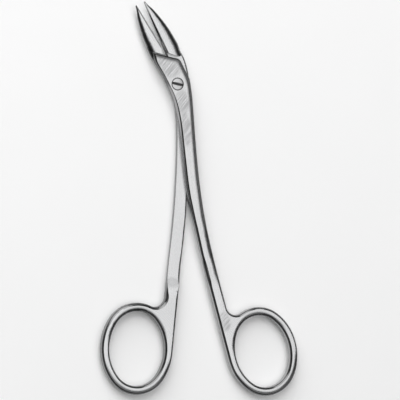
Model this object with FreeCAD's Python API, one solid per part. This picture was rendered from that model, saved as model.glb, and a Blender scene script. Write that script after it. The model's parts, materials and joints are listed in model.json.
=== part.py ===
import FreeCAD, Part
import math
import os

# Ring-handled clip forceps, angled on side: two steel halves that lap over each other
# at a slotted pivot screw. Millimetres. The shapes are worked out about the pivot,
# with the flat lap faces on z = 0, the jaws up (+Y) and the upper half on +Z.
# Both halves are drawn with the instrument shut, and the upper one is then turned open.

# Jaws
jaw_reach = 29.5            # pivot to the tips, along the line where the jaws meet
jaw_lean = 25.75            # lean of that line to the left of straight up, degrees
meeting_offset = 1.8        # the line passes this far to the right of the pivot
jaw_root_reach = 8.0        # the jaws start this far out, inside the joint plates
upper_jaw_width = 4.35      # across the left jaw at its root, seen from above
lower_jaw_width = 4.65      # the same for the right jaw, which takes the groove
jaw_tip_width = 0.55
jaw_root_thickness = 3.8
jaw_tip_thickness = 1.1
jaw_taper_power = 2.2       # how late the outer edge turns in towards the tip
jaw_thinning_power = 1.3    # how late the thickness falls off
jaw_flat_share = 0.3        # share of the width that stays flat before the back rounds off
jaw_nose_length = 0.7       # rounded end of the tip
jaw_kerf = 0.12             # daylight between the two inner faces when shut

# Groove in the inner face of the lower half's jaw
groove_width = 1.5
groove_tip_gap = 1.2        # from the tip to the start of the groove
groove_length = 17.0
groove_depth = 0.6
groove_slope = 0.35         # how far its walls lean in over that depth

# Relief at the throat of the upper half's jaw
throat_radius = 2.6
throat_depth = 0.75
throat_reach = 11.6
throat_edge_radius = 1.5    # softens its corner with the inner face

# Lap joint
plate_thickness = 2.3       # each half of the joint
grinding_stock = 0.05       # forged on the outer face and ground off flat
lap_gap = 0.04              # oil film between the flat faces
lap_end = 60.5              # the flats run this far below the pivot
lap_runout = 12.0           # length over which they run out into the full shank
upper_shoulder_angle = 73.15    # direction from the pivot square to the lower jaw's shoulder
upper_shoulder_reach = 9.05
lower_shoulder_angle = 125.0    # the same for the shoulder under the upper jaw
lower_shoulder_reach = 9.3
shoulder_gap = 0.6          # plate end to the other half's shoulder when shut
upper_flank_angle = 22.15   # direction square to the free side of the upper plate's end
upper_flank_reach = 4.8
lower_flank_angle = 198.4
lower_flank_reach = 2.75
slope_start = 8.0           # the lower plate's underside slopes to the jaw from this reach out
slope_angle = 7.5
plate_corner_radius = 2.0   # plan corner of each plate end
plate_edge_radius = 0.8     # rounding along each plate end

# Pivot screw
head_diameter = 4.1
head_height = 0.9
head_recess = 0.05          # the rim of the head sits this far below the plate
head_crown = 0.12
head_side_clearance = 0.06
head_float = 0.03           # running gap under the head
screw_diameter = 2.6
screw_clearance = 0.04      # running fit in the upper half
thread_clearance = 0.02     # in the lower half
screw_end_recess = 0.08
slot_width = 0.7
slot_depth = 0.5
slot_turn = -10.6           # degrees
screw_edge_break = 0.15

# Ring handles
ring_thickness = 3.4
bow_width = 2.8
hole_width = 19.5
hole_length = 25.0
hole_end_radius = 8.4       # the hole's two tight ends; its long sides follow from them
edge_round = 1.15           # rounding of the rings and shanks
crotch_radius = 3.6
lower_ring_centre = (-13.8, -88.4)
lower_ring_turn = 1.3       # top of the ring to the left, degrees
upper_ring_centre = (22.08, -92.98)
upper_ring_turn = 12.85
stub_start = 69.0           # the rings are forged in one with the shank from here down
thin_start = 45.0           # the shanks thin towards the rings from here down

# Position in which the instrument lies
rest_opening = 5.65         # the upper half is turned open by this much, degrees

# Rows across each half from the joint down to its ring: distance up from the pivot,
# left edge, right edge, and the rounding of the left and right outer edges.
upper_rows = [
    (11.8, -7.95, 1.02, 1.3, 0.8),
    (8.8, -7.0, 2.47, 0.9, 0.8),
    (6.0, -5.81, 3.51, 0.6, 0.9),
    (3.0, -4.24, 4.41, 0.45, 1.0),
    (0.0, -3.0, 4.85, 0.45, 1.1),
    (-3.0, -1.81, 5.04, 0.5, 1.15),
    (-7.0, -0.85, 5.07, 0.65, 1.15),
    (-13.0, -0.23, 4.94, 0.85, 1.15),
    (-24.0, -0.09, 4.76, 1.05, 1.15),
    (-36.0, 0.23, 4.93, 1.15, 1.15),
    (-47.5, 1.6, 5.75, 1.15, 1.15),
    (-58.5, 3.17, 7.32, 1.15, 1.15),
    (-stub_start, 5.07, 9.17, 1.15, 1.15),
]
lower_rows = [
    (13.2, -6.5, 0.1, 0.8, 1.5),
    (10.0, -6.3, 2.44, 0.8, 1.1),
    (6.3, -5.5, 3.95, 0.8, 0.9),
    (3.0, -4.1, 4.7, 0.9, 0.9),
    (0.0, -2.75, 5.05, 1.0, 1.0),
    (-3.0, -1.35, 5.05, 1.1, 1.1),
    (-7.0, 0.05, 4.97, 1.15, 1.15),
    (-13.0, 0.65, 4.9, 1.15, 1.15),
    (-24.0, 0.68, 4.85, 1.15, 1.15),
    (-36.0, 0.1, 4.25, 1.15, 1.15),
    (-47.0, -0.8, 3.5, 1.15, 1.15),
    (-57.6, -2.1, 2.25, 1.15, 1.15),
    (-stub_start, -3.5, 0.9, 1.15, 1.15),
]

# Drawing values
row_spacing = 3.0           # rows are filled in about this closely
jaw_stations = (0, 0.15, 0.3, 0.45, 0.6, 0.75, 0.9, 1)      # slices, as shares of the jaw
nose_stations = (0.6, 0.95)         # slices, as shares of the rounded nose
quarter_pull = 0.5523       # control arm that makes a Bezier curve a quarter circle
filed_turn = 22.5           # each flat of a rounded edge turns by this much from the last, degrees
filed_corners = 4           # corners between the three flats and the two faces that they join
reach_limit = lap_end + jaw_reach   # larger than a half is about its pivot, for cutting blocks
past_face = 0.01            # cutting blocks run this far past the faces that they open
same_place = 1e-4
join_slack = 0.02           # the shank and the stub of its ring agree to within this
blade_slack = 0.001         # the same for a jaw and its plate


def vector(x, y, z=0.0):
    return FreeCAD.Vector(x, y, z)


def direction(angle):
    return vector(math.cos(math.radians(angle)), math.sin(math.radians(angle)))


def turned(shape, angle):
    shape.rotate(vector(0, 0), vector(0, 0, 1), angle)
    return shape


def flipped(shape):
    """Mirror image below the lap faces."""
    return shape.mirror(vector(0, 0), vector(0, 0, 1))


def on_meeting_line(reach, across, z):
    """Point at a reach along the jaws and a distance to the right of their meeting line."""
    along = direction(90 + jaw_lean)
    right = direction(jaw_lean)
    return along * reach + right * (meeting_offset + across) + vector(0, 0, z)


# Curves
def line(a, b):
    return Part.LineSegment(a, b).toShape()


def corner(a, control, b):
    """Quarter of an oval from a to b, with its square corner at control."""
    curve = Part.BezierCurve()
    curve.setPoles([a, a + (control - a) * quarter_pull, b + (control - b) * quarter_pull, b])
    return curve.toShape()


def filed_corner(square, a, b):
    """Points of a corner rounded over from a to b in three flats that touch the true round."""
    to_a, to_b = a - square, b - square
    centre = square + to_a + to_b
    found = []
    half_turn = math.radians(filed_turn / 2)
    for count in range(filed_corners):
        turn = half_turn * (2 * count + 1)
        reach = to_b * math.cos(turn) + to_a * math.sin(turn)
        found.append(centre - reach / math.cos(half_turn))
    return found


# Jaws
def jaw_section(reach, side, width, thickness):
    """Slice across a jaw: flat inner face, rounded back. side is -1 left, 1 right."""
    half = thickness / 2
    inner = side * jaw_kerf / 2
    flat = inner + side * width * jaw_flat_share
    back = inner + side * width

    def at(across, z):
        return on_meeting_line(reach, across, z)

    return Part.Wire([
        line(at(inner, -half), at(inner, half)),
        line(at(inner, half), at(flat, half)),
        corner(at(flat, half), at(back, half), at(back, 0)),
        corner(at(back, 0), at(back, -half), at(flat, -half)),
        line(at(flat, -half), at(inner, -half)),
    ])


def jaw(side, root_width):
    sections = []
    length = jaw_reach - jaw_nose_length - jaw_root_reach
    for share in jaw_stations:
        width = jaw_tip_width * share + root_width * (1 - share ** jaw_taper_power)
        thickness = (jaw_root_thickness
                     + share ** jaw_thinning_power * (jaw_tip_thickness - jaw_root_thickness))
        sections.append(jaw_section(jaw_root_reach + share * length, side, width, thickness))
    for share in nose_stations:
        reach = jaw_reach - jaw_nose_length * (1 - share)
        shrink = math.sqrt(1 - share ** 2)
        sections.append(jaw_section(reach, side, jaw_tip_width * shrink, jaw_tip_thickness * shrink))
    return Part.makeLoft(sections, True, False)


def groove_outline(across, inset):
    """Lens on a plane beside the meeting line, drawn in from the groove's full size."""
    start = jaw_reach - groove_tip_gap - groove_length + inset
    end = jaw_reach - groove_tip_gap - inset
    middle = (start + end) / 2
    half = groove_width / 2 - inset
    a, b = on_meeting_line(start, across, 0), on_meeting_line(end, across, 0)
    above, below = on_meeting_line(middle, across, half), on_meeting_line(middle, across, -half)
    return Part.Wire([Part.Arc(a, above, b).toShape(), Part.Arc(b, below, a).toShape()])


def jaw_groove():
    face = jaw_kerf / 2
    sections = [groove_outline(face, 0), groove_outline(face + groove_depth, groove_slope)]
    mouth = Part.Face(sections[0]).extrude(direction(jaw_lean) * -jaw_kerf)
    return Part.makeLoft(sections, True, True).fuse(mouth)


def throat_relieved(blade):
    """The left jaw with its inner face scooped out at the throat."""
    centre = on_meeting_line(throat_reach, -jaw_kerf / 2 + throat_radius - throat_depth, -plate_thickness)
    blade = blade.cut(Part.makeCylinder(throat_radius, 2 * plate_thickness, centre))
    half_chord = math.sqrt(throat_radius ** 2 - (throat_radius - throat_depth) ** 2)
    far_corner = on_meeting_line(throat_reach + half_chord, -jaw_kerf / 2, 0)
    return blade.makeFillet(throat_edge_radius, upright_edges(blade, far_corner))


# Joint plates and shanks
def shank_top(y):
    """Height of a shank's outer face as forged: plate thickness and stock, easing to the ring's."""
    share = min(max((-y - thin_start) / (stub_start - thin_start), 0), 1)
    ease = share * share * (3 - 2 * share)
    forged = plate_thickness + grinding_stock
    return forged + (ring_thickness / 2 - forged) * ease


def shank_section(y, left, right, left_round, right_round):
    """Upright slice across a shank, flat side down, before the lap is milled."""
    top = shank_top(y)
    bottom = -ring_thickness / 2
    under = edge_round

    def at(x, z):
        return vector(x, y, z)

    points = (filed_corner(at(right, bottom), at(right - under, bottom), at(right, bottom + under))
              + filed_corner(at(right, top), at(right, top - right_round), at(right - right_round, top))
              + filed_corner(at(left, top), at(left + left_round, top), at(left, top - left_round))
              + filed_corner(at(left, bottom), at(left, bottom + under), at(left + under, bottom)))
    return Part.makePolygon(points + points[:1])


def eased(rows):
    """The rows with more between them, on smooth curves through all of them."""
    slopes = []
    for i in range(len(rows)):
        before, after = rows[max(i - 1, 0)], rows[min(i + 1, len(rows) - 1)]
        slopes.append([(b - a) / (after[0] - before[0]) for a, b in zip(before, after)])
    found = []
    for (a, slope_a), (b, slope_b) in zip(zip(rows, slopes), zip(rows[1:], slopes[1:])):
        span = b[0] - a[0]
        steps = max(round(abs(span) / row_spacing), 1)
        for step in range(steps):
            t = step / steps
            found.append([
                p * (1 + 2 * t) * (1 - t) ** 2 + q * t * t * (3 - 2 * t)
                + span * (m * t * (1 - t) ** 2 - n * t * t * (1 - t))
                for p, q, m, n in zip(a, b, slope_a, slope_b)])
    return found + [list(rows[-1])]


def within(angle, reach, bottom, top):
    """Block on the pivot's side of a straight line square to a direction from it."""
    corner_point = vector(reach - reach_limit, -reach_limit / 2, bottom)
    return turned(Part.makeBox(reach_limit, reach_limit, top - bottom, corner_point), angle)


def plate_end(end_angle, end_reach, flank_angle, flank_reach):
    """Everything that is cut away round the end of a joint plate."""
    top = plate_thickness + past_face
    end, flank = direction(end_angle), direction(flank_angle)
    spread = end.x * flank.y - end.y * flank.x
    tip = vector((end_reach * flank.y - flank_reach * end.y) / spread,
                 (flank_reach * end.x - end_reach * flank.x) / spread, -plate_thickness)
    along_end = vector(-end.y, end.x)
    if along_end.dot(flank) > 0:
        along_end = along_end * -1
    along_flank = vector(-flank.y, flank.x)
    if along_flank.dot(end) > 0:
        along_flank = along_flank * -1
    a = tip + along_end * reach_limit
    c = tip + along_flank * reach_limit
    outline = Part.makePolygon([tip, a, a + c - tip, c, tip])
    plate = Part.Face(outline).extrude(vector(0, 0, plate_thickness + top))
    plate = plate.makeFillet(plate_corner_radius, upright_edges(plate, tip))
    plate = plate.makeFillet(plate_edge_radius, level_edges(plate, top))
    slab = Part.makeBox(reach_limit, reach_limit, 3 * plate_thickness,
                        vector(-reach_limit / 2, 0, -plate_thickness))
    return slab.cut(plate)


def upright_edges(shape, place):
    """Edges that stand on one spot of the plan."""
    found = []
    for edge in shape.Edges:
        ends = [v.Point for v in edge.Vertexes]
        if len(ends) == 2 and all(math.hypot(p.x - place.x, p.y - place.y) < same_place for p in ends):
            found.append(edge)
    return found


def level_edges(shape, z):
    """Edges that lie flat at one height."""
    return [e for e in shape.Edges
            if abs(e.BoundBox.ZMin - z) < same_place and abs(e.BoundBox.ZMax - z) < same_place]


def lap_cut():
    """What is milled off the inner side of a half to bring it down to the lap face."""
    face = lap_gap / 2
    floor = -ring_thickness / 2 - past_face
    below = 3 * floor
    middle = lap_end + lap_runout / 2
    side = -reach_limit / 2

    def at(depth, z):
        return vector(side, -depth, z)

    run = Part.BezierCurve()
    run.setPoles([at(lap_end, face), at(middle, face), at(middle, floor), at(lap_end + lap_runout, floor)])
    outline = Part.Wire([
        line(at(-reach_limit, face), at(lap_end, face)),
        run.toShape(),
        line(at(lap_end + lap_runout, floor), at(lap_end + lap_runout, below)),
        line(at(lap_end + lap_runout, below), at(-reach_limit, below)),
        line(at(-reach_limit, below), at(-reach_limit, face)),
    ])
    return Part.Face(outline).extrude(vector(reach_limit, 0))


def outer_stock():
    """What is ground off to leave the outer face of a joint plate flat."""
    return Part.makeBox(2 * reach_limit, 2 * reach_limit, plate_thickness,
                        vector(-reach_limit, -reach_limit, plate_thickness))


def underside_slope():
    """What is filed off under the lower half, where its plate slopes down to the jaw."""
    rise = math.tan(math.radians(slope_angle)) * reach_limit
    start = on_meeting_line(slope_start, -reach_limit / 2, -plate_thickness)
    along = direction(90 + jaw_lean) * reach_limit
    wedge = Part.makePolygon([start, start + along + vector(0, 0, rise), start + along, start])
    return Part.Face(wedge).extrude(direction(jaw_lean) * reach_limit)


# Rings
def unit(v):
    return v * (1 / v.Length)


def arc(centre, a, b):
    """Arc about a centre from a to b, the short way round."""
    middle = unit(unit(a - centre) + unit(b - centre)) * (a - centre).Length
    return Part.Arc(a, centre + middle, b).toShape()


def finger_ring(centre, turn, rows, inner_side):
    """Ring and the lower end of its shank. The bow is an even band between two ovals, each of
    two tight end arcs and two long side arcs. inner_side is 1 where the shank's right edge
    runs on to touch the ring, and -1 where its left edge does."""
    middle = vector(*centre)
    side = direction(turn) * inner_side
    up = direction(turn + 90)
    half_width, half_length = hole_width / 2, hole_length / 2
    end_offset = half_length - hole_end_radius
    side_radius = ((half_width ** 2 + half_length ** 2 - 2 * half_length * hole_end_radius)
                   / (2 * (half_width - hole_end_radius)))
    top, bottom = middle + up * end_offset, middle - up * end_offset
    inner = middle - side * (side_radius - half_width)
    outer = middle + side * (side_radius - half_width)

    def joins(band):
        reach = hole_end_radius + band
        return [end + unit(end - flank) * reach for end, flank in
                ((top, inner), (bottom, inner), (bottom, outer), (top, outer))]

    a, b, c, d = joins(0)
    hole = Part.Wire([arc(inner, a, b), arc(bottom, b, c), arc(outer, c, d), arc(top, d, a)])

    y, left, right = rows[-1][:3]
    y_before, left_before, right_before = rows[-2][:3]
    ends = {-1: vector(left, y), 1: vector(right, y)}
    befores = {-1: vector(left_before, y_before), 1: vector(right_before, y_before)}
    near, far = ends[inner_side], ends[-inner_side]

    # The shank's inner edge runs on until it touches the side arc.
    radius = side_radius + bow_width
    away = near - inner
    lean = math.degrees(math.atan2(away.y, away.x) - inner_side * math.acos(radius / away.Length))
    touch = inner + direction(lean) * radius

    # Its outer edge swings round into the end arc at the crotch.
    radius = hole_end_radius + bow_width
    down = unit(far - befores[-inner_side])
    out = vector(down.y, -down.x) * inner_side
    start = far + out * crotch_radius - top
    along = -start.dot(down) - math.sqrt(
        start.dot(down) ** 2 - start.dot(start) + (radius + crotch_radius) ** 2)
    crotch = start + top + down * along
    leave = far + down * along
    land = top + unit(crotch - top) * radius

    _, b, c, d = joins(bow_width)
    outline = Part.Wire([line(far, near), line(near, touch), arc(inner, touch, b), arc(bottom, b, c),
                         arc(outer, c, d), arc(top, d, land), arc(crotch, land, leave), line(leave, far)])
    flat = Part.Face(outline).cut(Part.Face(hole))
    flat.translate(vector(0, 0, -ring_thickness / 2))
    blank = flat.extrude(vector(0, 0, ring_thickness)).Solids[0]
    return filed_rims(blank, y)


def filed_rims(blank, start):
    """A ring's rims rounded over in three flats below the start of its shank stub."""
    half = ring_thickness / 2
    full_flat = math.tan(math.radians(filed_turn))
    half_flat = math.tan(math.radians(filed_turn / 2))
    wide = edge_round * (1 - full_flat)
    narrow = edge_round * (full_flat - half_flat)
    for setback, heights in ((wide, (half,)), (narrow, (half, half - wide))):
        rims = [e for z in heights for e in level_edges(blank, z) + level_edges(blank, -z)
                if e.BoundBox.YMin < start - same_place]
        blank = blank.makeChamfer(setback, rims)
    return blank


def handle(rows, ring, plate_cut):
    """Joint plate, shank and ring of one half, with its lap face down on z = 0."""
    shank = Part.makeLoft([shank_section(*row) for row in eased(rows)], True, False)
    whole = ring.fuse(shank, join_slack)
    return whole.cut(lap_cut()).cut(plate_cut).cut(outer_stock())


# Pivot
def drill(radius, bottom, top):
    return Part.makeCylinder(radius, top - bottom, vector(0, 0, bottom))


def head_seat():
    return plate_thickness - head_recess - head_height


def pivot_screw():
    rim = plate_thickness - head_recess
    end = screw_end_recess - plate_thickness
    neck = screw_diameter / 2
    head = head_diameter / 2
    crown_halfway = rim + head_crown * 0.75     # a shallow dome is this high half way out
    outline = Part.Wire([
        line(vector(0, 0, end), vector(neck - screw_edge_break, 0, end)),
        line(vector(neck - screw_edge_break, 0, end), vector(neck, 0, end + screw_edge_break)),
        line(vector(neck, 0, end + screw_edge_break), vector(neck, 0, head_seat())),
        line(vector(neck, 0, head_seat()), vector(head, 0, head_seat())),
        line(vector(head, 0, head_seat()), vector(head, 0, rim - screw_edge_break)),
        line(vector(head, 0, rim - screw_edge_break), vector(head - screw_edge_break, 0, rim)),
        Part.Arc(vector(head - screw_edge_break, 0, rim), vector(head / 2, 0, crown_halfway),
                 vector(0, 0, rim + head_crown)).toShape(),
        line(vector(0, 0, rim + head_crown), vector(0, 0, end)),
    ])
    screw = Part.Face(outline).revolve(vector(0, 0), vector(0, 0, 1), 360)
    slot = Part.makeBox(2 * head_diameter, slot_width, 2 * slot_depth,
                        vector(-head_diameter, -slot_width / 2, rim + head_crown - slot_depth))
    return screw.cut(turned(slot, slot_turn))


# The two halves
def upper_half():
    tool = plate_end(upper_shoulder_angle, upper_shoulder_reach - shoulder_gap,
                     upper_flank_angle, upper_flank_reach)
    blade = throat_relieved(jaw(-1, upper_jaw_width))
    floor = -reach_limit / 2
    blade = blade.cut(within(lower_shoulder_angle, lower_shoulder_reach, floor, lap_gap / 2))
    ring = finger_ring(upper_ring_centre, upper_ring_turn, upper_rows, -1)
    body = handle(upper_rows, ring, tool).fuse(blade, blade_slack)
    seat = head_seat() - head_float
    body = body.cut(drill(head_diameter / 2 + head_side_clearance, seat, 2 * plate_thickness))
    body = body.cut(drill(screw_diameter / 2 + screw_clearance, -plate_thickness, plate_thickness))
    return turned(body.removeSplitter(), rest_opening)


def lower_half():
    tool = plate_end(lower_shoulder_angle, lower_shoulder_reach - shoulder_gap,
                     lower_flank_angle, lower_flank_reach)
    blade = jaw(1, lower_jaw_width).cut(jaw_groove())
    ceiling = reach_limit / 2
    blade = blade.cut(within(upper_shoulder_angle, upper_shoulder_reach, -lap_gap / 2, ceiling))
    ring = finger_ring(lower_ring_centre, lower_ring_turn, lower_rows, 1)
    body = flipped(handle(lower_rows, ring, tool)).cut(underside_slope()).fuse(blade, blade_slack)
    body = body.cut(drill(screw_diameter / 2 + thread_clearance, -2 * plate_thickness, plate_thickness))
    return body.removeSplitter()


pieces = {"upper_half": upper_half(), "lower_half": lower_half(), "pivot_screw": pivot_screw()}

# The part's origin is under the middle of the instrument as it lies, with rest on z = 0.
around = Part.makeCompound(list(pieces.values())).optimalBoundingBox(False, False)
shift = vector(-(around.XMin + around.XMax) / 2, -(around.YMin + around.YMax) / 2, -around.ZMin)
print("pivot at", shift)
print("size", around.XLength, around.YLength, around.ZLength)

os.makedirs("parts", exist_ok=True)
for name, shape in pieces.items():
    shape.translate(shift)
    print(name, shape.isValid(), len(shape.Solids), round(shape.Volume, 1))
    shape.Solids[0].exportStep("parts/" + name + ".step")
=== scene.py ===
# %% [markdown]
# # Clip forceps
# Ring-handled clip forceps are two forged steel halves. They lap over each other at a flat joint
# and turn on a slotted screw, and the jaws lean to the side so that they reach into a narrow place.
# The solids are already drawn in CAD. This lesson gives them the surfaces of the real thing:
# satin ground steel, softly broken edges, a turned screw with its thread, and studio light.
#
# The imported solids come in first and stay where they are. Everything is in metres, seen from above
# with the jaws away from the viewer, and the instrument lies on the plane z = 0.

# %% Load the fixed solids
import math

import bmesh
import bpy
import json
from mathutils import Matrix, Vector


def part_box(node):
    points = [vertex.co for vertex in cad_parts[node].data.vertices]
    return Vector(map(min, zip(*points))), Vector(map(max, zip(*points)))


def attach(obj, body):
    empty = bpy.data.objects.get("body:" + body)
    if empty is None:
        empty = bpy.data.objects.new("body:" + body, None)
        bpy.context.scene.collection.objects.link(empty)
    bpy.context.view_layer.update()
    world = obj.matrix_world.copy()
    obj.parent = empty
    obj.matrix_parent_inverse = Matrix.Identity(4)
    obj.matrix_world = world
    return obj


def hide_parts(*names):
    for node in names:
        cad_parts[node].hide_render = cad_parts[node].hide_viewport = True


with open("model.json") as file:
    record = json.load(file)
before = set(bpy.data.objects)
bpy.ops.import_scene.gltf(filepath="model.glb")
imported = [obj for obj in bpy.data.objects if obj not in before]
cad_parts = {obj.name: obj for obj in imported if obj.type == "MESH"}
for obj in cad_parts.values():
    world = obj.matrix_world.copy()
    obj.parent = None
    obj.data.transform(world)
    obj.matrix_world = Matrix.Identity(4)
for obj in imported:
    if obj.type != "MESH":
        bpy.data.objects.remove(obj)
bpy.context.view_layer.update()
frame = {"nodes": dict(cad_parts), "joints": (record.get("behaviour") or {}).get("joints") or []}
MM = 0.001
print("nodes", sorted(frame["nodes"]))

# %% [markdown]
# ## Where things are
# The two halves turn about one upright line, so most places on the instrument are easiest to give
# as millimetres from that line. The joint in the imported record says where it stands. Its height is
# the plane in which the two halves touch. The jaws meet along a line that leans to the left and
# passes a little to the right of the pivot, and the front half lies a few degrees open.

# %% Find the pivot
pivot = Vector(frame["joints"][0]["pos_m"])
REST_OPENING = math.radians(5.65)
JAW_LEAN = math.radians(25.75)
MEETING_OFFSET = 1.8  # millimetres from the pivot to the line where the jaws meet


def about_pivot(x, y, z=0.0):
    """Point so many millimetres from the pivot, in metres."""
    return pivot + Vector((x, y, z)) * MM


print("pivot in mm", [round(value / MM, 2) for value in pivot])

# %% [markdown]
# ## A short way to write node trees
# A material is a sum written out in boxes and wires. Typing the sum is easier to read, so one small
# class wraps a socket: plus, minus, times and so on add Math nodes, and one method adds any other
# node. A colour ramp's stops are a setting too, and a smooth curve runs through them. The same class
# serves the Geometry Nodes further down.

# %% A socket that does sums


class Socket:
    """One output in a node tree. Sums on it add Math nodes to that tree."""

    def __init__(self, tree, socket=None):
        self.tree, self.socket = tree, socket

    def node(self, kind, settings=None, values=None, output=0):
        """Adds a node. Its settings go in first, then the values or links of its sockets."""
        made = self.tree.nodes.new(kind)
        for key, value in (settings or {}).items():
            if key == "stops":
                ramp = made.color_ramp
                ramp.interpolation = "CARDINAL"
                while len(ramp.elements) < len(value):
                    ramp.elements.new(1.0)
                for element, (position, grey) in zip(ramp.elements, value):
                    element.position = position
                    element.color = (grey, grey, grey, 1.0)
            else:
                setattr(made, key, value)
        for key, value in (values or {}).items():
            target = made.inputs[key] if isinstance(key, int) else self.enabled(made.inputs, key)
            if isinstance(value, Socket):
                self.tree.links.new(value.socket, target)
            else:
                target.default_value = value
        outputs = made.outputs
        if not outputs:
            return made
        return Socket(self.tree, outputs[output] if isinstance(output, int) else self.enabled(outputs, output))

    @staticmethod
    def enabled(sockets, name):
        """The socket of that name which is in use: some nodes hold one for each type of value."""
        return next(socket for socket in sockets if socket.name == name and socket.enabled)

    def math(self, operation, *values):
        return self.node("ShaderNodeMath", {"operation": operation}, dict(enumerate(values)))

    def __add__(self, other):
        return self.math("ADD", self, other)

    def __radd__(self, other):
        return self.math("ADD", other, self)

    def __sub__(self, other):
        return self.math("SUBTRACT", self, other)

    def __rsub__(self, other):
        return self.math("SUBTRACT", other, self)

    def __mul__(self, other):
        return self.math("MULTIPLY", self, other)

    def __rmul__(self, other):
        return self.math("MULTIPLY", other, self)

    def __truediv__(self, other):
        return self.math("DIVIDE", self, other)

    def __abs__(self):
        return self.math("ABSOLUTE", self)

    def between(self, low, high):
        """0 below low, 1 above high, and a soft step from one to the other."""
        return self.node("ShaderNodeMapRange", {"interpolation_type": "SMOOTHSTEP"},
                         {"Value": self, "From Min": low, "From Max": high})

    def axis(self, name):
        return self.node("ShaderNodeSeparateXYZ", None, {"Vector": self}, name)


print("operators ready")

# %% [markdown]
# ## The two halves
# Each half is one forging: jaw, flat joint plate, shank and finger ring. The CAD mesh is a heap of
# loose triangles, which shades as facets. A copy is merged at its seams, its flat areas are joined
# again, and a very narrow bevel breaks the sharp edges, as the polisher's wheel does. Normals that
# lean towards the larger face keep the flats flat and let the light roll round the edges.

# %% Choose the edges to break
SHARP = math.radians(38)
FILED = math.radians(10)
JAWS_BEGIN, RUN_OUT = 4.0, (-76, -54)  # millimetres above the pivot


def mark_broken_edges(work):
    """Sharp edges of the shanks and the joint get a bevel weight. The jaws' edges stay crisp."""
    weight = work.edges.layers.float.new("bevel_weight_edge")
    sharp = [edge for edge in work.edges if edge.calc_face_angle(0.0) > SHARP]
    for edge in sharp:
        if max(vert.co.y for vert in edge.verts) > pivot.y + JAWS_BEGIN * MM:
            edge.smooth = False
        else:
            edge[weight] = 1.0
    print(len(sharp), "sharp edges")


def keep_run_out_crisp(work):
    """Small faces meet where the lap face runs out into the shank. No shading is blended over them."""
    for edge in work.edges:
        places = [(vert.co.y - pivot.y) / MM for vert in edge.verts]
        if RUN_OUT[0] < min(places) and max(places) < RUN_OUT[1] and edge.calc_face_angle(0.0) > FILED:
            edge.smooth = False


print("edges over", round(math.degrees(SHARP)), "degrees are broken")

# %% Make a finished copy of a CAD node
SEAM = 0.001 * MM
SAME_PLANE = math.radians(0.05)
BROKEN_EDGE = 0.05 * MM


def finished_copy(node, name, body):
    """Merged copy of a CAD node with its edges broken. It takes the node's place on that body."""
    mesh = frame["nodes"][node].data.copy()
    mesh.name = name
    work = bmesh.new()
    work.from_mesh(mesh)
    bmesh.ops.remove_doubles(work, verts=work.verts, dist=SEAM)
    bmesh.ops.dissolve_limit(work, angle_limit=SAME_PLANE, verts=work.verts, edges=work.edges)
    for face in work.faces:
        face.smooth = True
    mark_broken_edges(work)
    keep_run_out_crisp(work)
    work.to_mesh(mesh)
    work.free()
    mesh.materials.clear()
    piece = bpy.data.objects.new(name, mesh)
    bpy.context.scene.collection.objects.link(piece)
    broken = piece.modifiers.new("broken edges", "BEVEL")
    broken.width, broken.segments = BROKEN_EDGE, 2
    broken.limit_method = "WEIGHT"
    broken.use_clamp_overlap = False
    weighted = piece.modifiers.new("even shading", "WEIGHTED_NORMAL")
    weighted.keep_sharp = True
    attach(piece, body)
    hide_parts(node)
    print(name, len(mesh.polygons), "faces")
    return piece


upper = finished_copy("upper_half", "upper_forging", "upper_half")
lower = finished_copy("lower_half", "lower_forging", "lower_half")

# %% [markdown]
# ## Satin steel
# The halves are ground along their length and then brushed to a satin. The lines of the wheel follow
# the shank, lean with the jaws and run round the rings. A picture of brushed steel could be wrapped
# over the shape, but it would show seams. Stretched noise has none, and it can be turned to follow
# each part. It is read in millimetres from the pivot, with each half turned to how it lies shut.

# %% Places on a half


def new_tree(name):
    """Empty material, and the start of the sums in its tree."""
    material = bpy.data.materials.new(name)
    material.use_nodes = True
    material.node_tree.nodes.clear()
    return material, Socket(material.node_tree)


def shut_place(start, turn):
    """Place in millimetres from the pivot, on a half that is turned back to where it lies shut."""
    place = start.node("ShaderNodeTexCoord", output="Object")
    return start.node("ShaderNodeMapping", {"vector_type": "TEXTURE"},
                      {"Vector": place, "Location": tuple(pivot), "Rotation": (0, 0, turn), "Scale": (MM, MM, MM)})


def noise(start, x, y, z, detail=3.0):
    """Noise that is stretched along whichever of the three changes slowest."""
    place = start.node("ShaderNodeCombineXYZ", None, {"X": x, "Y": y, "Z": z})
    return start.node("ShaderNodeTexNoise", None, {"Vector": place, "Scale": 1.0, "Detail": detail})


def distance(start, x, y):
    """How far a place is from the middle, in plan."""
    return start.math("SQRT", x * x + y * y)


def along_the_jaws(x, y):
    """How far a place is to the right of the line where the jaws meet, and how far out along it."""
    lean_cos, lean_sin = math.cos(JAW_LEAN), math.sin(JAW_LEAN)
    return x * lean_cos + y * lean_sin - MEETING_OFFSET, y * lean_cos - x * lean_sin


print("places are in millimetres from the pivot")

# %% [markdown]
# ## Lines of the grinding wheel
# Three sets of lines are made and blended: along the shank, along the jaws, and round the ring. The
# flat lap faces are ground across instead, so that the halves slide on each other without sticking.

# %% Grain that follows the shape
FINE, LONG = 5.0, 0.09
JAW_LINES_BEGIN = (7, 11)
RING_LINES_END = (14, 18)
LAP_FACE, LAP_HALF = (0.03, 0.06), (12, 14)


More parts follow.
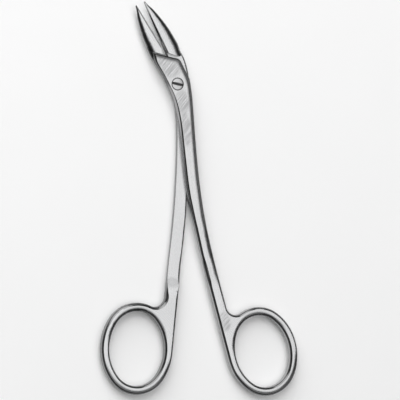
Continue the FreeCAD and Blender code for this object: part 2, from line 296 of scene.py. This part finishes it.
def grain_of(start, place, ring):
    """Lines of the wheel, 0 to 1, that follow whichever part of the half the place is on."""
    x, y, z = (place.axis(name) for name in "XYZ")
    across, along = along_the_jaws(x, y)
    shank = noise(start, x * FINE, y * LONG, z * FINE)
    jaw = noise(start, across * FINE, along * LONG, z * FINE)
    ring_x, ring_y = x - ring[0], y - ring[1]
    radius = distance(start, ring_x, ring_y)
    round_ring = noise(start, (radius + z) * FINE, ring_x / radius, ring_y / radius)
    lines = shank + (jaw - shank) * along.between(*JAW_LINES_BEGIN)
    lines = lines + (round_ring - lines) * (1 - radius.between(*RING_LINES_END))
    ground_across = noise(start, x * LONG, y * FINE, 0.0)
    lap = (1 - abs(z).between(*LAP_FACE)) * (1 - abs(y).between(*LAP_HALF))
    return lines + (ground_across - lines) * lap


print("grain", FINE, "lines a millimetre across")

# %% [markdown]
# ## The rolled edges
# The wheel rolls off the long right edge of the front half and off the end of its plate, so the flat
# bends away there before the true rounding begins. The right edge of the rear half, from its shoulder
# down, is dressed in the same way. It is a tenth of a millimetre deep, too little for the solid: a
# colour ramp tells where the edge is at each height, and a bump lets the surface down by the square
# of how near it is. The colour on the roll is darkened as well, as painted shade.

# %% Where the edges run, in millimetres
LONG_EDGE = [(11.8, 1.02), (8.8, 2.47), (6.0, 3.51), (3.0, 4.41), (0.0, 4.85), (-3.0, 5.04), (-7.0, 5.07),
             (-13.0, 4.94), (-24.0, 4.76), (-36.0, 4.93), (-47.5, 5.75), (-58.5, 7.32), (-69.0, 9.17)]
REAR_EDGE = [(11.27, 1.61), (10.22, 2.31), (9.26, 2.84), (8.18, 3.32), (6.98, 3.75), (5.52, 4.16), (3.0, 4.7),
             (0.0, 5.05), (-7.0, 4.97), (-13.0, 4.9), (-24.0, 4.85), (-36.0, 4.25), (-47.0, 3.5), (-57.6, 2.25),
             (-69.0, 0.9)]
EDGE_SPAN = 10.0
ON_THE_STEEL = (-0.5, 0.0)


def inside_edge(start, x, y, line):
    """How far a place is to the left of an edge that is given as heights and distances to the right."""
    top, bottom = line[0][0], line[-1][0]
    stops = [((top - height) / (top - bottom), edge / EDGE_SPAN) for height, edge in line]
    edge = start.node("ShaderNodeValToRGB", {"stops": stops}, {"Fac": (top - y) / (top - bottom)}, "Color")
    return EDGE_SPAN * edge - x


def rolling(start, inside, begins, width):
    """0 on the flat and rising to 1 where the roll ends."""
    share = start.math("MINIMUM", start.math("MAXIMUM", (begins - inside) / width, 0.0), 1.0)
    return share * share


print("edges given at", len(LONG_EDGE), "and", len(REAR_EDGE), "heights")

# %% [markdown]
# The rings are rolled too, at the top inside the hole and at the bottom outside, with the same
# painted shade. A ring is nearly an ellipse. Dividing a place by its half width and half length
# makes it a circle, and the radius there tells how near the rim is.

# %% The rims of the rings
HOLE_HALF = (9.75, 12.5)
BAND = 2.8
RIM_ROLL = (1.9, 0.95)
TOP_OF_HOLE, BOTTOM_OF_RIM = (1.0, 7.0), (-8.0, -2.0)
UPPER_RING, UPPER_RING_TURN = (22.08, -92.98), math.radians(12.85)
LOWER_RING, LOWER_RING_TURN = (-13.8, -88.4), math.radians(1.3)


def ring_roll_and_shade(start, x, y, middle, turn):
    """Roll, with painted shade, at the top of a ring's hole and at the bottom of its rim."""
    ring_x, ring_y = x - middle[0], y - middle[1]
    across = ring_x * math.cos(turn) + ring_y * math.sin(turn)
    along = ring_y * math.cos(turn) - ring_x * math.sin(turn)
    from_hole = (distance(start, across / HOLE_HALF[0], along / HOLE_HALF[1]) - 1) * HOLE_HALF[1]
    rim = distance(start, across / (HOLE_HALF[0] + BAND), along / (HOLE_HALF[1] + BAND))
    from_rim = (1 - rim) * (HOLE_HALF[1] + BAND)
    top = rolling(start, from_hole, *RIM_ROLL) * from_hole.between(*ON_THE_STEEL)
    bottom = rolling(start, from_rim, *RIM_ROLL) * from_rim.between(*ON_THE_STEEL)
    return top * along.between(*TOP_OF_HOLE) + bottom * (1 - along.between(*BOTTOM_OF_RIM))


print("a ring's band is", BAND, "mm wide")

# %% The two rolled edges
PLATE_CUTS = [(8.45, math.radians(73.15)), (4.85, math.radians(22.1))]
CUT_CORNER = 1.0
FRONT_ROLL, FRONT_ROLL_ENDS = (2.1, 1.2), (-70, -64)
REAR_ROLL, REAR_ROLL_ENDS = (0.55, 0.4), (-68, -64)
AT_THE_LAP, ABOVE_THE_LAP = (-0.1, -0.05), (1.0, 1.5)


def front_roll_and_shade(start, x, y, z):
    """Roll and painted shade on the long right edge of the front half, the two cuts at the end of its plate, and
    its ring.
    """
    inside = inside_edge(start, x, y, LONG_EDGE)
    for reach, facing in PLATE_CUTS:
        from_cut = reach - x * math.cos(facing) - y * math.sin(facing)
        inside = start.math("SMOOTH_MIN", inside, from_cut, CUT_CORNER)
    edge = rolling(start, inside, *FRONT_ROLL) * inside.between(*ON_THE_STEEL)
    return edge * y.between(*FRONT_ROLL_ENDS) + ring_roll_and_shade(start, x, y, UPPER_RING, UPPER_RING_TURN)


def rear_roll_and_shade(start, x, y, z):
    """Roll and painted shade on the right edge of the rear half's lap face, and on its ring."""
    on_lap_face = z.between(*AT_THE_LAP) * (1 - z.between(*ABOVE_THE_LAP))
    edge = rolling(start, inside_edge(start, x, y, REAR_EDGE), *REAR_ROLL) * on_lap_face
    return edge * y.between(*REAR_ROLL_ENDS) + ring_roll_and_shade(start, x, y, LOWER_RING, LOWER_RING_TURN)


print("the front edge rolls over", FRONT_ROLL[1], "mm and the rear edge over", REAR_ROLL[1], "mm")

# %% [markdown]
# ## Marks of the making, and painted shade
# Polished steel is not one grey. The roundings are finished finer than the flats, and their colour is
# darkened as a painted reflection of the dark side of the room. The walls are darkened as painted shade.
# On the broad places a second brush has crossed the lines of the wheel in oval spots, which are rougher
# and darkened as painted shade. How far up the surface faces tells flats, roundings and walls apart, so
# no mask has to be painted.

# %% Flats, roundings, walls and brushed spots
FLAT, ROUNDING, WALL = (0.93, 0.985), (0.15, 0.35), (0.1, 0.2)
HATCH_FINE, HATCH_LONG, HATCH_STEP = 2.2, 0.12, (0.36, 0.62)
SPOT_RIM = (0.3, 1.0)


def faces_of(start):
    """Shares of a place that belong to a flat, a rounding and a wall."""
    upright = abs(start.node("ShaderNodeTexCoord", output="Normal").axis("Z"))
    flat = upright.between(*FLAT)
    return flat, upright.between(*ROUNDING) * (1 - flat), 1 - upright.between(*WALL)


# The hatch is rougher, and it also darkens the colour there as painted shade.
def brushed_and_shaded_spots(start, x, y, spots):
    """Hatch that is 1 at most, in ovals given by their middle and their reach each way."""
    hatch = noise(start, (x - y) * HATCH_FINE, (x + y) * HATCH_LONG, 0.0, 2.0).between(*HATCH_STEP)
    covered = 0.0
    for middle, reach in spots:
        across, along = (x - middle[0]) / reach[0], (y - middle[1]) / reach[1]
        covered = 1 - (across * across + along * along).between(*SPOT_RIM) + covered
    return covered * hatch


print("flats face up by more than", FLAT[0])

# %% [markdown]
# ## Painted shade in the corners
# The colour is darkened as painted shade where shade falls: in the groove and the crotch of the right
# jaw, in the corner round the screw's head, and in the hollow of the plate's left wall. The left jaw
# gets a narrow painted dark line too, along the edge where it meets the other jaw.

# %% Where the steel gets painted shade
HEAD_CORNER = (2.1, 2.22)
FACES_LEFT = (-0.6, -0.4)
HOLLOW_BEGINS, HOLLOW_ENDS = (-2.0, 1.0), (12.0, 14.0)
EDGE_LINE, EDGE_LINE_BEGINS = (-0.52, -0.4), (11.0, 13.0)
GROOVE_MOUTH, GROOVE_FLOOR, GROOVE_TIP = (0.05, 0.2), (0.75, 0.85), (28.0, 28.6)
CROTCH_END, JAW_ROOT = (12.5, 15.5), (9.0, 10.0)
TURNED_IN = (-0.45, -0.3)


def on_the_front(start, x, y, z):
    """Painted shade round the head, in the hollow left of the plate, and along the edge of the left jaw."""
    across, along = along_the_jaws(x, y)
    normal = start.node("ShaderNodeTexCoord", output="Normal")
    head = 1 - distance(start, x, y).between(*HEAD_CORNER)
    left = 1 - normal.axis("X").between(*FACES_LEFT)
    hollow = left * y.between(*HOLLOW_BEGINS) * (1 - y.between(*HOLLOW_ENDS))
    edge_line = across.between(*EDGE_LINE) * along.between(*EDGE_LINE_BEGINS)
    return start.math("MAXIMUM", start.math("MAXIMUM", head, hollow), edge_line)


def in_the_groove(start, x, y, z):
    """Painted shade in the groove of the right jaw and in the crotch below it, on what faces the other jaw."""
    across, along = along_the_jaws(x, y)
    normal = start.node("ShaderNodeTexCoord", output="Normal")
    right = normal.axis("X") * math.cos(JAW_LEAN) + normal.axis("Y") * math.sin(JAW_LEAN)
    groove = across.between(*GROOVE_MOUTH) * (1 - across.between(*GROOVE_FLOOR))
    groove = groove * (1 - along.between(*GROOVE_TIP))
    dark = start.math("MAXIMUM", groove, 1 - along.between(*CROTCH_END))
    return dark * (1 - right.between(*TURNED_IN)) * along.between(*JAW_ROOT)


print("groove dark to", GROOVE_TIP[1], "mm out")

# %% [markdown]
# ## Satin steel for a half
# Everything comes together in one metal. Its tone, its roughness and its height each take a share of
# the grain, the scratches, the spots and the rolled edges. The tone also takes painted shade in the
# spots, in the corners, on roundings and walls, and on the rolled edges.

# %% Mix the satin steel
STEEL_TONE, STEEL_TINT = 0.58, (1.0, 1.004, 1.014)
CLOUD_FINE, CLOUD_LONG, CLOUD_CHANGE = 0.16, 0.1, 0.08
SCRATCH_FINE, SCRATCH_LONG, SCRATCH_SLANT, SCRATCH_STEP = 7, 0.2, 0.4, (0.7, 0.76)
GRAIN_CHANGE, SCRATCH_GLINT = 0.1, 0.05
SPOT_SHADE, CORNER_SHADE, ROUNDING_SHADE, ROLL_SHADE = 0.3, 0.72, 0.8, 0.75
FINE_ROUGH, SATIN_ROUGH, GRAIN_ROUGH, SCRATCH_ROUGH, SPOT_ROUGH = 0.17, 0.1, 0.14, 0.1, 0.12
GRAIN_HEIGHT, ROLL_DEPTH = 0.006, 0.13  # millimetres


def satin_steel(name, turn, ring, spots, shaded_corners, wall_shade, roll_and_shade):
    """Ground and brushed steel, with painted shade, for a half that lies turned open by that much."""
    material, start = new_tree(name)
    place = shut_place(start, turn)
    x, y, z = (place.axis(axis) for axis in "XYZ")
    flat, rounding, wall = faces_of(start)
    grain = grain_of(start, place, ring)
    cloud = noise(start, x * CLOUD_FINE, y * CLOUD_LONG, z * CLOUD_FINE, 2.0)
    scratches = noise(start, (x + y * SCRATCH_SLANT) * SCRATCH_FINE, (y - x * SCRATCH_SLANT) * SCRATCH_LONG, z,
                      1.0).between(*SCRATCH_STEP)
    crossed_and_shaded = brushed_and_shaded_spots(start, x, y, spots) * flat
    rolled_and_shaded = roll_and_shade(start, x, y, z)
    tone = STEEL_TONE + CLOUD_CHANGE * (cloud - 0.5) + GRAIN_CHANGE * (grain - 0.5)
    # Painted shade: the spots, corners, roundings, walls and rolled edges darken the colour.
    tone = (tone + SCRATCH_GLINT * scratches) * (1 - SPOT_SHADE * crossed_and_shaded)
    tone = tone * (1 - CORNER_SHADE * shaded_corners(start, x, y, z)) * (1 - ROUNDING_SHADE * rounding)
    tone = tone * (1 - wall_shade * wall) * (1 - ROLL_SHADE * rolled_and_shaded * flat)
    red, green, blue = (tone * share for share in STEEL_TINT)
    colour = start.node("ShaderNodeCombineColor", None, {"Red": red, "Green": green, "Blue": blue})
    rough = FINE_ROUGH + SATIN_ROUGH * flat * (1 - rolled_and_shaded) + GRAIN_ROUGH * (grain - 0.5)
    rough = rough + SCRATCH_ROUGH * scratches + SPOT_ROUGH * crossed_and_shaded
    height = GRAIN_HEIGHT * (grain - 0.5 * scratches) - ROLL_DEPTH * rolled_and_shaded
    bump = start.node("ShaderNodeBump", None, {"Height": height, "Strength": 1.0, "Distance": MM})
    shader = start.node("ShaderNodeBsdfPrincipled", None,
                        {"Base Color": colour, "Metallic": 1.0, "Roughness": rough, "Normal": bump})
    start.node("ShaderNodeOutputMaterial", None, {"Surface": shader})
    return material


print("tone of the steel", STEEL_TONE)

# %% Put it on the halves
UPPER_SPOTS = [((-2.77, 6.05), (6.0, 4.4)), ((1.1, -6.31), (3.0, 5.2)), ((1.64, -15.44), (2.2, 6.4)),
               ((9.04, -81.28), (2.6, 4.0))]
LOWER_SPOTS = [((6.5, 13.0), (2.0, 4.0))]
UPPER_WALL_SHADE, LOWER_WALL_SHADE = 0.3, 0.62
upper.data.materials.append(satin_steel("upper_satin_steel", REST_OPENING, UPPER_RING, UPPER_SPOTS,
                                        on_the_front, UPPER_WALL_SHADE, front_roll_and_shade))
lower.data.materials.append(satin_steel("lower_satin_steel", 0.0, LOWER_RING, LOWER_SPOTS,
                                        in_the_groove, LOWER_WALL_SHADE, rear_roll_and_shade))
print("satin steel on", upper.name, lower.name)

# %% [markdown]
# ## The pivot screw
# The screw is turned from bar: a low domed head with a milled slot, a plain neck that the upper half
# turns on, and a fine thread in the lower half. It is a lathe shape, so a profile is spun round the
# pivot line here. The thread follows a rule, so Geometry Nodes press it into the plain shank.

# %% Profile of the screw
head_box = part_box("pivot_screw")
SCREW_END = head_box[0].z
SCREW_TOP = head_box[1].z
HEAD_RADIUS = 2.05 * MM
NECK_RADIUS = 1.3 * MM
HEAD_HEIGHT = 0.9 * MM
HEAD_CROWN = 0.12 * MM
EDGE_BREAK = 0.15 * MM
SHANK_ROWS, EDGE_STEPS, CROWN_STEPS = 60, 6, 8
rim = SCREW_TOP - HEAD_CROWN
seat = rim - HEAD_HEIGHT
thread_top = pivot.z


def screw_profile():
    """Radius and height from the middle of the end, up the outside, to the middle of the crown."""
    points = [(NECK_RADIUS - EDGE_BREAK, SCREW_END)]
    foot = SCREW_END + EDGE_BREAK
    points += [(NECK_RADIUS, foot + (thread_top - foot) * row / SHANK_ROWS) for row in range(SHANK_ROWS + 1)]
    points += [(NECK_RADIUS, seat), (HEAD_RADIUS, seat), (HEAD_RADIUS, rim - EDGE_BREAK)]
    for step in range(1, EDGE_STEPS + 1):
        angle = math.pi / 2 * step / EDGE_STEPS
        points.append((HEAD_RADIUS - EDGE_BREAK * (1 - math.cos(angle)),
                       rim - EDGE_BREAK * (1 - math.sin(angle))))
    for step in range(1, CROWN_STEPS):
        share = 1 - step / CROWN_STEPS
        points.append(((HEAD_RADIUS - EDGE_BREAK) * share, rim + HEAD_CROWN * (1 - share ** 2)))
    return points


profile = screw_profile()
print("screw profile", len(profile), "points")

# %% Spin it into a solid
AROUND = 96


def new_piece(name, work):
    """Turns what was built into an object in the scene."""
    bmesh.ops.recalc_face_normals(work, faces=work.faces)
    mesh = bpy.data.meshes.new(name)
    work.to_mesh(mesh)
    work.free()
    piece = bpy.data.objects.new(name, mesh)
    bpy.context.scene.collection.objects.link(piece)
    return piece


def lathed(name, points, around, end, top):
    """Closed solid of revolution about the pivot line."""
    work = bmesh.new()
    rings = []
    for radius, height in points:
        ring = []
        for step in range(around):
            angle = 2 * math.pi * step / around
            x, y = pivot.x + radius * math.cos(angle), pivot.y + radius * math.sin(angle)
            ring.append(work.verts.new((x, y, height)))
        rings.append(ring)
    for low, high in zip(rings, rings[1:]):
        for step in range(around):
            after = (step + 1) % around
            work.faces.new((low[step], low[after], high[after], high[step]))
    for ring, height, outward in ((rings[0], end, -1), (rings[-1], top, 1)):
        middle = work.verts.new((pivot.x, pivot.y, height))
        for step in range(around):
            a, b = ring[step], ring[(step + 1) % around]
            work.faces.new((a, b, middle) if outward > 0 else (b, a, middle))
    return new_piece(name, work)


screw = lathed("slotted_screw", profile, AROUND, SCREW_END, SCREW_TOP)
print("screw", len(screw.data.polygons), "faces")

# %% [markdown]
# ## The slot
# The slot is milled straight across the head. A box with slightly flared sides is taken away with a
# Boolean, so its mouth comes out with the small break that a real slot gets.

# %% Mill the slot
SLOT_WIDTH = 0.7 * MM
SLOT_DEPTH = 0.5 * MM
SLOT_FLARE = 0.06 * MM
SLOT_TURN = math.radians(-10.6)


def slot_cutter():
    """Bar with the slot's section, whose flared top stands clear above the head."""
    floor = SCREW_TOP - SLOT_DEPTH
    half = SLOT_WIDTH / 2
    lip = rim - SLOT_FLARE
    clear = 3 * SLOT_FLARE
    section = [(-half, floor), (half, floor), (half, lip), (half + clear, lip + clear),
               (-half - clear, lip + clear), (-half, lip)]
    along = Vector((math.cos(SLOT_TURN), math.sin(SLOT_TURN), 0))
    across = Vector((-along.y, along.x, 0))
    work = bmesh.new()
    ends = []
    for reach in (-2 * HEAD_RADIUS, 2 * HEAD_RADIUS):
        ends.append([work.verts.new(Vector((pivot.x, pivot.y, height)) + along * reach + across * side)
                     for side, height in section])
    count = len(section)
    for step in range(count):
        after = (step + 1) % count
        work.faces.new((ends[0][step], ends[0][after], ends[1][after], ends[1][step]))
    work.faces.new(ends[0])
    work.faces.new(ends[1])
    return new_piece("slot_cutter", work)


def plain_mesh(piece):
    """Applies whatever modifiers a piece has."""
    evaluated = piece.evaluated_get(bpy.context.evaluated_depsgraph_get())
    mesh = bpy.data.meshes.new_from_object(evaluated)
    piece.modifiers.clear()
    piece.data = mesh


cutter = slot_cutter()
mill = screw.modifiers.new("slot", "BOOLEAN")
mill.operation, mill.object, mill.solver = "DIFFERENCE", cutter, "EXACT"
plain_mesh(screw)
bpy.data.objects.remove(cutter)
print("slotted screw", len(screw.data.polygons), "faces")

# %% [markdown]
# ## The thread
# A thread is a groove that climbs one pitch for each turn. For any point of the shank, its height
# divided by the pitch, less its share of a turn round the axis, says where it is across the groove.
# A Geometry Nodes tree works that out and pushes the point in by that much.

# %% A tree that presses a thread in
SIZES = ("Pitch", "Depth", "Bottom", "Top", "Runout", "Radius")
NEAR_THE_WALL = 0.97


def thread_tree():
    """Pushes the points of a shank in along a helix. Its inputs are in metres."""
    tree = bpy.data.node_groups.new("thread", "GeometryNodeTree")
    sockets = tree.interface
    sockets.new_socket("Geometry", in_out="INPUT", socket_type="NodeSocketGeometry")
    for name in SIZES:
        sockets.new_socket(name, in_out="INPUT", socket_type="NodeSocketFloat")
    sockets.new_socket("Centre", in_out="INPUT", socket_type="NodeSocketVector")
    sockets.new_socket("Finish", in_out="INPUT", socket_type="NodeSocketMaterial")
    sockets.new_socket("Geometry", in_out="OUTPUT", socket_type="NodeSocketGeometry")
    start = Socket(tree)
    given = tree.nodes.new("NodeGroupInput")
    value = {socket.name: Socket(tree, socket) for socket in given.outputs}
    place = start.node("GeometryNodeInputPosition")
    offset = start.node("ShaderNodeVectorMath", {"operation": "SUBTRACT"}, {0: place, 1: value["Centre"]})
    x, y, z = (offset.axis(name) for name in "XYZ")
    height = place.axis("Z")
    turn = start.math("ARCTAN2", y, x) / (2 * math.pi)
    across = start.math("FRACT", height / value["Pitch"] - turn)
    groove = 1 - 2 * abs(across - 0.5)
    inside = (height - value["Bottom"]) / value["Runout"]
    below_top = (value["Top"] - height) / value["Runout"]
    share = start.math("MINIMUM", start.math("MINIMUM", inside, below_top), 1.0)
    share = start.math("MAXIMUM", share, 0.0)
    radius = distance(start, x, y)
    on_wall = start.math("GREATER_THAN", radius, value["Radius"] * NEAR_THE_WALL)
    push = value["Depth"] * groove * share * on_wall / start.math("MAXIMUM", radius, 1e-6)
    flat = start.node("ShaderNodeVectorMath", {"operation": "MULTIPLY"}, {0: offset, 1: (-1, -1, 0)})
    inward = start.node("ShaderNodeVectorMath", {"operation": "SCALE"}, {"Vector": flat, "Scale": push})
    threaded = start.node("GeometryNodeSetPosition", None, {"Geometry": value["Geometry"], "Offset": inward})
    real = start.node("GeometryNodeRealizeInstances", None, {"Geometry": threaded})
    finished = start.node("GeometryNodeSetMaterial", None, {"Geometry": real, "Material": value["Finish"]})
    start.node("NodeGroupOutput", None, {"Geometry": finished})
    return tree


def with_inputs(piece, tree, values):
    """Adds a Geometry Nodes modifier and fills its inputs in by identifier."""
    modifier = piece.modifiers.new(tree.name, "NODES")
    modifier.node_group = tree
    for item in tree.interface.items_tree:
        if item.in_out == "INPUT" and item.name in values:
            modifier[item.identifier] = values[item.name]


print("thread inputs", ", ".join(SIZES))

# %% [markdown]
# ## Steel from the lathe
# The lathe tool leaves fine rings on the head, so the tone follows the distance from the middle. The
# slot and the very edge of the head are darkened as painted shade, as the corners of the halves are.

# %% Turned steel
SCREW_TONE, SCREW_TINT = 0.52, (1.0, 1.0, 1.01)
RINGS_FINE, RING_CHANGE = 9.0, 0.12
SCREW_CLOUD, SCREW_CLOUD_CHANGE = 0.9, 0.06
SLOT_SHADE, EDGE_SHADE = 0.88, 0.9
BELOW_RIM, BESIDE_SLOT, EDGE_BAND = (0.12, 0.02), (0.02, 0.06), 0.15  # millimetres
TURNED_ROUGH, RING_ROUGH, SLOT_AND_EDGE_ROUGH = 0.22, 0.12, 0.2
RING_HEIGHT, RING_STRENGTH = 0.02 * MM, 0.3


def turned_steel(name):
    """Rings of the lathe tool on the head, and painted shade in the slot and at the head's edge."""
    material, start = new_tree(name)
    place = shut_place(start, 0.0)
    x, y, z = (place.axis(axis) for axis in "XYZ")
    radius = distance(start, x, y)
    rings = start.node("ShaderNodeTexNoise", {"noise_dimensions": "1D"},
                       {"W": radius, "Scale": RINGS_FINE, "Detail": 2.0})
    cloud = noise(start, x * SCREW_CLOUD, y * SCREW_CLOUD, z * SCREW_CLOUD, 2.0)
    across_slot = abs(y * math.cos(SLOT_TURN) - x * math.sin(SLOT_TURN))
    rim_height, half_slot = (rim - pivot.z) / MM, SLOT_WIDTH / 2 / MM
    head_edge = (HEAD_RADIUS - EDGE_BREAK) / MM
    in_slot = 1 - z.between(rim_height - BELOW_RIM[0], rim_height - BELOW_RIM[1])
    in_slot = in_slot * (1 - across_slot.between(half_slot + BESIDE_SLOT[0], half_slot + BESIDE_SLOT[1]))
    at_edge = radius.between(head_edge - EDGE_BAND, head_edge)
    # Painted shade in the slot and at the edge of the head; both are rougher too.
    dark = start.math("MAXIMUM", in_slot, at_edge * EDGE_SHADE)
    tone = SCREW_TONE + RING_CHANGE * (rings - 0.5) + SCREW_CLOUD_CHANGE * (cloud - 0.5)
    tone = tone * (1 - SLOT_SHADE * dark)
    red, green, blue = (tone * share for share in SCREW_TINT)
    colour = start.node("ShaderNodeCombineColor", None, {"Red": red, "Green": green, "Blue": blue})
    rough = TURNED_ROUGH + RING_ROUGH * rings + SLOT_AND_EDGE_ROUGH * dark
    bump = start.node("ShaderNodeBump", None,
                      {"Height": rings, "Strength": RING_STRENGTH, "Distance": RING_HEIGHT})
    shader = start.node("ShaderNodeBsdfPrincipled", None,
                        {"Base Color": colour, "Metallic": 1.0, "Roughness": rough, "Normal": bump})
    start.node("ShaderNodeOutputMaterial", None, {"Surface": shader})
    return material


screw_steel = turned_steel("turned_steel")
print("material", screw_steel.name)

# %% Press the thread in and seat the screw
PITCH, THREAD_DEPTH, THREAD_RUNOUT = 0.45 * MM, 0.2 * MM, 0.3 * MM
with_inputs(screw, thread_tree(), {
    "Pitch": PITCH, "Depth": THREAD_DEPTH, "Bottom": SCREW_END + EDGE_BREAK, "Top": thread_top,
    "Runout": THREAD_RUNOUT, "Centre": tuple(pivot), "Radius": NECK_RADIUS, "Finish": screw_steel})
plain_mesh(screw)
for polygon in screw.data.polygons:
    polygon.use_smooth = True
screw.data.set_sharp_from_angle(angle=SHARP)
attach(screw, "lower_half")
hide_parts("pivot_screw")
print("screw", len(screw.data.polygons), "faces")

# %% [markdown]
# ## Studio
# The instrument lies on a pale table. A large soft lamp hangs over it and a stronger one stands at the
# upper left. The room between them is dim and only pale at the height of the table, because polished
# steel needs something dark to mirror, or its edges would be lost against the table. The level is
# plain: a white sheet there would look white.

# %% Table
TABLE_HALF = 2.0
TABLE_DROP = 0.02 * MM
SHEET_TONE, FIBRES_FINE, FIBRE_CHANGE = 0.95, 40.0, 0.02


def table_finish():
    """Matt white sheet with a faint cloud of fibres."""
    material, start = new_tree("table")
    place = start.node("ShaderNodeTexCoord", output="Object")
    fibres = start.node("ShaderNodeTexNoise", None, {"Vector": place, "Scale": FIBRES_FINE, "Detail": 4.0})
    tone = SHEET_TONE + FIBRE_CHANGE * fibres
    colour = start.node("ShaderNodeCombineColor", None, {"Red": tone, "Green": tone, "Blue": tone})
    shader = start.node("ShaderNodeBsdfPrincipled", None, {"Base Color": colour, "Roughness": 0.9})
    start.node("ShaderNodeOutputMaterial", None, {"Surface": shader})
    return material


table_mesh = bpy.data.meshes.new("table")
table_mesh.from_pydata([(-TABLE_HALF, -TABLE_HALF, 0), (TABLE_HALF, -TABLE_HALF, 0),
                        (TABLE_HALF, TABLE_HALF, 0), (-TABLE_HALF, TABLE_HALF, 0)], [], [(0, 1, 2, 3)])
table = bpy.data.objects.new("table", table_mesh)
table.data.materials.append(table_finish())
bpy.context.scene.collection.objects.link(table)
table.location.z = -TABLE_DROP
print("table laid")

# %% Lamps


def soft_lamp(name, place, faces, width, height, glow):
    """Lamp of that size whose light falls along faces. Its glow is how bright it looks: 1 is white."""
    lamp = bpy.data.lights.new(name, "AREA")
    lamp.shape, lamp.size, lamp.size_y = "RECTANGLE", width, height
    lamp.energy = glow * math.pi * width * height
    piece = bpy.data.objects.new(name, lamp)
    piece.location = place
    piece.rotation_mode = "QUATERNION"
    piece.rotation_quaternion = Vector(faces).to_track_quat("-Z", "Y")
    bpy.context.scene.collection.objects.link(piece)


soft_lamp("top_lamp", place=(0.12, 0.1, 1.2), faces=(0, 0, -1), width=1.31, height=1.6, glow=1.15)
soft_lamp("key_lamp", place=(-0.45, 0.95, 0.75), faces=(0.45, -0.95, -0.75), width=1.25, height=1.25, glow=3.5)

# %% Sky
SKY_LIGHT, HORIZON_LIGHT, HORIZON_BAND = 0.12, 0.8, (0.05, 0.2)
world = bpy.data.worlds.new("studio")
bpy.context.scene.world = world
world.use_nodes = True
world.node_tree.nodes.clear()
sky = Socket(world.node_tree)
rise = abs(sky.node("ShaderNodeTexCoord", output="Generated").axis("Z"))
level = SKY_LIGHT + HORIZON_LIGHT * (1 - rise.between(*HORIZON_BAND))
backdrop = sky.node("ShaderNodeBackground", None, {"Color": (1, 1, 1, 1), "Strength": level})
sky.node("ShaderNodeOutputWorld", None, {"Surface": backdrop})
bpy.context.scene.view_settings.view_transform = "Standard"
print("sky", SKY_LIGHT, "and", round(SKY_LIGHT + HORIZON_LIGHT, 2), "at the horizon")

# %% [markdown]
# ## Camera
# The picture looks down on the instrument, a little from the left, so that the inner face of the
# right jaw shows. A long lens keeps the two rings the same size.

# %% Set the camera
VIEW_TILT = math.radians(20)
LENS, SENSOR = 200.0, 36.0
FRAME_WIDTH = 133.9 * MM
aim = about_pivot(7.05, -38.83, 4.77)  # the middle of the picture
towards = Vector((-math.sin(VIEW_TILT), 0, math.cos(VIEW_TILT)))
lens = bpy.data.cameras.new("camera")
lens.lens, lens.sensor_width = LENS, SENSOR
camera = bpy.data.objects.new("camera", lens)
camera.location = aim + towards * (FRAME_WIDTH * LENS / SENSOR)
up = Vector((0, 1, 0))
camera.rotation_mode = "QUATERNION"
camera.rotation_quaternion = Matrix((up.cross(towards), up, towards)).transposed().to_quaternion()
bpy.context.scene.collection.objects.link(camera)
bpy.context.scene.camera = camera
print("camera", [round(value, 3) for value in camera.location])
